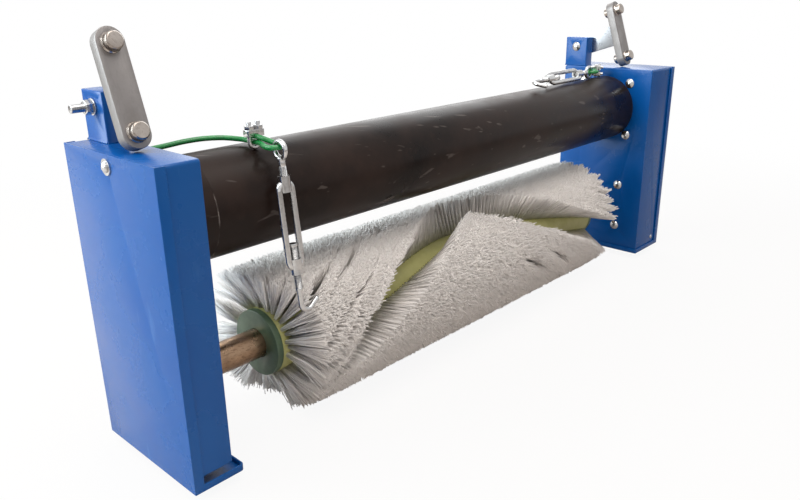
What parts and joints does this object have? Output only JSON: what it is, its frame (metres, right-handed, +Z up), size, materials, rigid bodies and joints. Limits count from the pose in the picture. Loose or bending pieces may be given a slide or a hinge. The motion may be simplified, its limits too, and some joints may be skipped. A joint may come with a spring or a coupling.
{
  "type": "rotary brush belt cleaner",
  "caption": "Motor-driven brush roller between two folded steel housings on a tube, with swing arms and rope-held turnbuckles, to clean a conveyor belt.",
  "frame": {"origin": "under the middle of the machine, on the plane of the brush and tube axes, at the lowest bristle tips", "axes": "+X along the brush towards the wide drive housing, +Y to the side of the arm posts, +Z up"},
  "size_m": [1.4752, 0.275, 0.6515],
  "materials": {
    "blue_paint": "glossy powder coat",
    "tube_steel": "dark scale under clear oil",
    "shaft_steel": "turned, slightly tarnished",
    "zinc": "zinc plated",
    "arm_steel": "laser cut, zinc plated",
    "cast_iron": "painted casting",
    "core_plastic": "tinted plastic tube",
    "disc_plastic": "turned plastic",
    "bristle_nylon": "translucent nylon filament",
    "rope_coat": "green coat over wire rope",
    "black_rubber": "matt",
    "motor_paint": "grey enamel",
    "bearing_steel": "ground and polished"
  },
  "bodies": {
    "frame": {"left_inner_box": "blue_paint", "left_cover": "blue_paint", "left_cover_screw": "zinc", "left_post": "blue_paint", "left_stud": "zinc", "left_stud_nut": "zinc", "left_bearing_housing": "cast_iron", "left_bearing_bolts": "zinc", "left_tube_flange": "cast_iron", "left_tube_bolts": "zinc", "left_tube_collar": "tube_steel", "left_grommet": "black_rubber", "left_rope": "rope_coat", "left_rope_clip": "zinc", "left_rope_stop": "zinc", "right_inner_box": "blue_paint", "right_cover": "blue_paint", "right_cover_screw": "zinc", "right_low_screw": "zinc", "right_post": "blue_paint", "right_stud": "zinc", "right_stud_nut": "zinc", "right_bearing_housing": "cast_iron", "right_bearing_bolts": "zinc", "right_tube_bolts": "zinc", "right_grommet": "black_rubber", "right_rope": "rope_coat", "right_rope_clip": "zinc", "right_rope_stop": "zinc", "carrier_tube": "tube_steel", "gear_motor": "motor_paint", "motor_flange": "cast_iron", "drive_belts": "black_rubber"},
    "brush": {"brush_shaft": "shaft_steel", "brush_core": "core_plastic", "left_end_disc": "disc_plastic", "right_end_disc": "disc_plastic", "left_bristle_rows": "bristle_nylon", "right_bristle_rows": "bristle_nylon", "left_bearing_ring": "bearing_steel", "right_bearing_ring": "bearing_steel", "driven_pulley": "cast_iron"},
    "motor_rotor": {"motor_shaft": "shaft_steel", "drive_pulley": "cast_iron"},
    "left_arm": {"left_arm_plate": "arm_steel", "left_arm_pins": "zinc", "left_arm_strip": "arm_steel"},
    "right_arm": {"right_arm_plate": "arm_steel", "right_arm_pins": "zinc", "right_arm_strip": "arm_steel"},
    "left_eye": {"left_eye_screw": "zinc"},
    "left_sleeve": {"left_turnbuckle_body": "zinc"},
    "left_hook": {"left_hook_screw": "zinc"},
    "right_eye": {"right_eye_screw": "zinc"},
    "right_sleeve": {"right_turnbuckle_body": "zinc"},
    "right_hook": {"right_hook_screw": "zinc"}
  },
  "joints": [
    {"name": "brush_spin", "type": "hinge", "parent": "frame", "child": "brush", "pos_m": [0, 0, 0.1375], "axis": [1, 0, 0], "continuous": true},
    {"name": "motor_spin", "type": "hinge", "parent": "frame", "child": "motor_rotor", "pos_m": [0, 0, 0.3915], "axis": [1, 0, 0], "continuous": true},
    {"name": "left_arm_swing", "type": "hinge", "parent": "frame", "child": "left_arm", "pos_m": [-0.6645, 0.093, 0.54053], "axis": [1, 0, 0], "range_deg": [-160, 0]},
    {"name": "right_arm_swing", "type": "hinge", "parent": "frame", "child": "right_arm", "pos_m": [0.6105, 0.093, 0.54053], "axis": [1, 0, 0], "range_deg": [-160, 0]},
    {"name": "left_turnbuckle_swing", "type": "hinge", "parent": "frame", "child": "left_eye", "pos_m": [-0.5125, -0.088, 0.4773], "axis": [1, 0, 0], "range_deg": [-90, 0]},
    {"name": "left_turnbuckle_turn", "type": "hinge", "parent": "left_eye", "child": "left_sleeve", "pos_m": [-0.5125, -0.088, 0.4773], "axis": [0, -0.1097, -0.994], "range_deg": [-720, 720]},
    {"name": "left_hook_slide", "type": "slide", "parent": "left_eye", "child": "left_hook", "axis": [0, -0.1097, -0.994], "range_m": [-0.00701, 0.00701]},
    {"name": "right_turnbuckle_lift", "type": "hinge", "parent": "frame", "child": "right_eye", "pos_m": [0.5195, 0, 0.4883], "axis": [0, 1, 0], "range_deg": [0, 90]},
    {"name": "right_turnbuckle_turn", "type": "hinge", "parent": "right_eye", "child": "right_sleeve", "pos_m": [0.5195, 0, 0.4883], "axis": [-1, 0, 0], "range_deg": [-720, 720]},
    {"name": "right_hook_slide", "type": "slide", "parent": "right_eye", "child": "right_hook", "axis": [-1, 0, 0], "range_m": [-0.00701, 0.00701]}
  ],
  "couplings": [
    {"joint": "motor_spin", "follows": "brush_spin", "ratio": 1.5},
    {"joint": "left_hook_slide", "follows": "left_turnbuckle_turn", "m_per_rad": 0.00055704},
    {"joint": "right_hook_slide", "follows": "right_turnbuckle_turn", "m_per_rad": 0.00055704}
  ]
}
